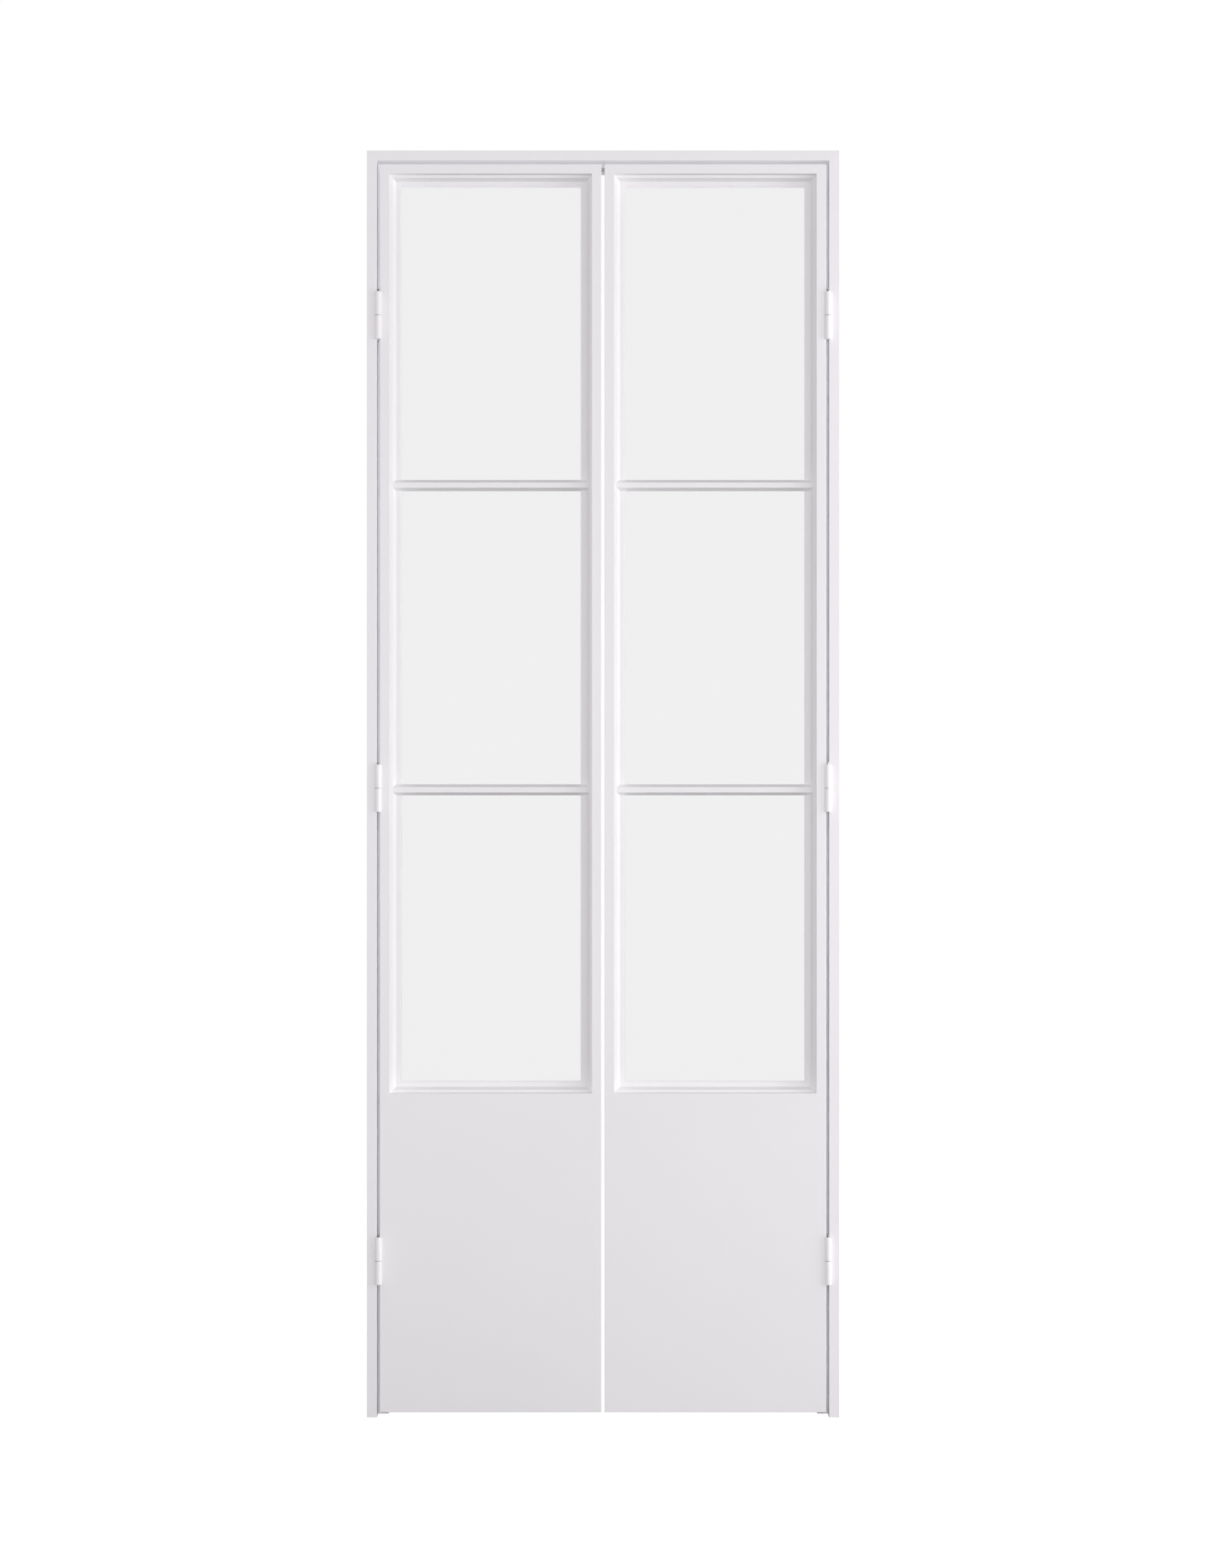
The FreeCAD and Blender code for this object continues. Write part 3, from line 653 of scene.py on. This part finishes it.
# %% [markdown]
# ## Which edges are eased
# The glazing surrounds, the muntins and the stops are eased along their length alone, and the catches,
# cleats and clips all round. The beads behind the glass and the rubber seals are strips that butt against
# each other, and a Weld would grow them together, so they stay as square as they were cut. The jambs and
# tubes already have rounded edges in the solids.

# %% Ease the edges
join_distance = 0.000005
flat_angle = math.radians(0.5)
trim_ease = 0.0006
stop_ease = 0.0008
fitting_ease = 0.0005
longest_mitre = 0.04
fitting_shortest = 0.0025
fittings = ("magnetic_catches", "corner_cleats", "floor_clips")


def ease(solid, width, shortest):
    """Softens the sharp edges of a flat-sided solid that are longer than the shortest."""
    weld = solid.modifiers.new("join_faces", "WELD")
    weld.merge_threshold = join_distance
    merge = solid.modifiers.new("merge_triangles", "DECIMATE")
    merge.decimate_type = "DISSOLVE"
    merge.angle_limit = flat_angle
    chooser = solid.modifiers.new("mark_long_edges", "NODES")
    chooser.node_group = marking
    chooser[shortest_socket.identifier] = shortest
    bevel = solid.modifiers.new("eased_edges", "BEVEL")
    bevel.limit_method = "WEIGHT"
    bevel.width = width
    bevel.segments = 2
    bevel.use_clamp_overlap = False


eased = 0
for name, solid in nodes.items():
    if "_surround_" in name or name.endswith("_muntin"):
        ease(solid, trim_ease, longest_mitre)
    elif name.endswith("_stop"):
        ease(solid, stop_ease, longest_mitre)
    elif name in fittings:
        ease(solid, fitting_ease, fitting_shortest)
    else:
        continue
    eased += 1
print(eased, "nodes have eased edges")

# %% [markdown]
# ## Weld beads
# A weld is a row of overlapping crescents, because the pool of metal freezes in steps. A plain tube would
# read as glue, so each bead is a ring of points carried along the corner between two faces: its size swells
# and shrinks with each ripple, and the middle of a ring runs ahead of its edges, which bends the ripples
# into crescents.

# %% Shape of a weld bead
weld_leg = 0.003
weld_root = 0.0003
weld_flatness = 0.6
end_size = 0.4
end_bluntness = 8
ripple_pitch = 0.0018
ripple_share = 0.09
ripple_mean = 0.6
ripple_lead = 0.0008
ripple_steps = 8
ring_steps = 8


def weld_bead(form, start, end, first, second):
    """A rippled fillet between two faces, which run from its line in the first and second directions."""
    start = Vector(start)
    run = Vector(end) - start
    stations = round(run.length / ripple_pitch * ripple_steps)
    rings = []
    for station in range(stations + 1):
        share = station / stations
        middle = start + run * share
        swell = end_size + (1 - end_size) * math.sqrt(1 - abs(2 * share - 1) ** end_bluntness)
        ring = [middle - (first + second) * weld_root]
        for step in range(ring_steps + 1):
            turn = math.radians(90) * step / ring_steps
            lag = (share * run.length - ripple_lead * math.sin(2 * turn)) / ripple_pitch
            ripple = 1 + ripple_share * (abs(math.cos(math.pi * lag)) - ripple_mean)
            chord = 1 / (math.cos(turn) + math.sin(turn))
            reach = weld_leg * swell * ripple * (weld_flatness * chord + (1 - weld_flatness))
            ring.append(middle + (first * math.cos(turn) + second * math.sin(turn)) * reach)
        rings.append([form.verts.new(point) for point in ring])
    for near, far in zip(rings, rings[1:]):
        for corner in range(len(near)):
            form.faces.new((near[corner - 1], near[corner], far[corner], far[corner - 1]))
    form.faces.new(rings[0])
    form.faces.new(rings[-1])


print("a bead is", weld_leg * 1000, "mm wide, with a ripple every", ripple_pitch * 1000, "mm")

# %% [markdown]
# ## Welds of the frame
# The cleats that hold the top corners square, and the clips that close the feet, are fixed by short welds
# inside the frame. A bead all along every edge would be easy, but a welder keeps beads short, so that the
# heat doesn't bend the sheet. Each cleat has one on each edge of each leg and one under its foot, and each
# clip has two. Their heights and distances from the middle are taken from the boxes of the cleats and
# clips.

# %% Weld the cleats and the clips
cleat_sheet = 0.003
upright_weld = (0.010, 0.038)
flat_weld = (0.016, 0.044)
foot_margin = 0.014
clip_weld_starts = (-0.034, 0.024)
clip_weld_length = 0.026
up = Vector((0, 0, 1))
ahead = Vector((0, -1, 0))
cleat_low, cleat_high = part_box("corner_cleats")
clip_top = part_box("floor_clips")[1].z
deck = cleat_high.z - cleat_sheet
weld_form = bmesh.new()
for side in (-1, 1):
    out = Vector((side, 0, 0))
    web = side * (cleat_high.x - cleat_sheet)
    for y, away in ((cleat_low.y, ahead), (cleat_high.y, -ahead)):
        start, end = [(web, y, cleat_low.z + rise) for rise in upright_weld]
        weld_bead(weld_form, start, end, away, out)
        start, end = [(web - side * inset, y, deck) for inset in flat_weld]
        weld_bead(weld_form, start, end, away, up)
    start, end = [(web, y, cleat_low.z) for y in (cleat_low.y + foot_margin, cleat_high.y - foot_margin)]
    weld_bead(weld_form, start, end, -up, out)
    for y in clip_weld_starts:
        weld_bead(weld_form, (web, y, clip_top), (web, y + clip_weld_length, clip_top), up, out)
bmesh.ops.recalc_face_normals(weld_form, faces=weld_form.faces)
for face in weld_form.faces:
    face.smooth = True
weld_mesh = bpy.data.meshes.new("frame_welds")
weld_form.to_mesh(weld_mesh)
weld_form.free()
welds = bpy.data.objects.new("frame_welds", weld_mesh)
scene.collection.objects.link(welds)
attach(welds, "frame")
print("welds have", len(weld_mesh.polygons), "faces")

# %% [markdown]
# ## Weld metal
# A weld cools darker than the sheet beside it, and its heat leaves straw, brown and blue tints in patches.
# It shares the film and the fine pores of the other finishes, with soot as the film.

# %% Finish: weld metal
straw_weld = (0.50, 0.46, 0.42)
sooty_weld = (0.22, 0.22, 0.27)
weld_smooth = 0.30
weld_rough = 0.50
weld_pit_depth = 0.00004
weld_metal, weld_tree, weld_shader = start_finish("weld_metal")
weld_shader.inputs["Metallic"].default_value = 1.0
soot = add(weld_tree, "Group", {"Patch Size": 0.006, "Cover": 0.5}, node_tree=film).outputs["Film"]
spatter = add(weld_tree, "Group", {"Cell Size": 0.0004}, node_tree=pores).outputs
weld_tone = tone_between(weld_tree, soot, straw_weld, sooty_weld)
weld_roughness = between(weld_tree, spatter["Tone"], weld_smooth, weld_rough)
feed(weld_tree, weld_shader, weld_tone, weld_roughness, spatter["Pit"], weld_pit_depth, cell_strength)
weld_mesh.materials.append(weld_metal)
print("weld metal on", welds.name)

# %% [markdown]
# ## Magnet poles
# A magnetic catch holds the door by two thin steel strips with the magnet between them, which end a hair in
# front of the plastic. They are too small for the solids and are seen only with a leaf open. Each strip is
# a bar with its edges rounded over, sunk into the nose of the catch.

# %% Pole strips of the catches
pole_length = 0.036
pole_thick = 0.0011
pole_sunk = 0.001
pole_proud = 0.00012
pole_round = 0.00008
pole_rises = (0.28, 0.72)
catch_half = 0.024
nose_height = 0.005
catch_low, catch_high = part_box("magnetic_catches")
pole_y = catch_low.y + (pole_sunk - pole_proud) / 2
pole_form = bmesh.new()
for side in (-1, 1):
    for rise in pole_rises:
        bar = bmesh.ops.create_cube(pole_form, size=1.0)["verts"]
        bmesh.ops.scale(pole_form, verts=bar, vec=(pole_length, pole_sunk + pole_proud, pole_thick))
        place = (side * (catch_high.x - catch_half), pole_y, catch_low.z + nose_height * rise)
        bmesh.ops.translate(pole_form, verts=bar, vec=place)
bmesh.ops.bevel(pole_form, geom=pole_form.edges[:], offset=pole_round, segments=2, affect="EDGES")
pole_mesh = bpy.data.meshes.new("catch_poles")
pole_form.to_mesh(pole_mesh)
pole_form.free()
poles = bpy.data.objects.new("catch_poles", pole_mesh)
scene.collection.objects.link(poles)
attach(poles, "frame")
pole_mesh.materials.append(screw_zinc)
print("poles have", len(pole_mesh.polygons), "faces")
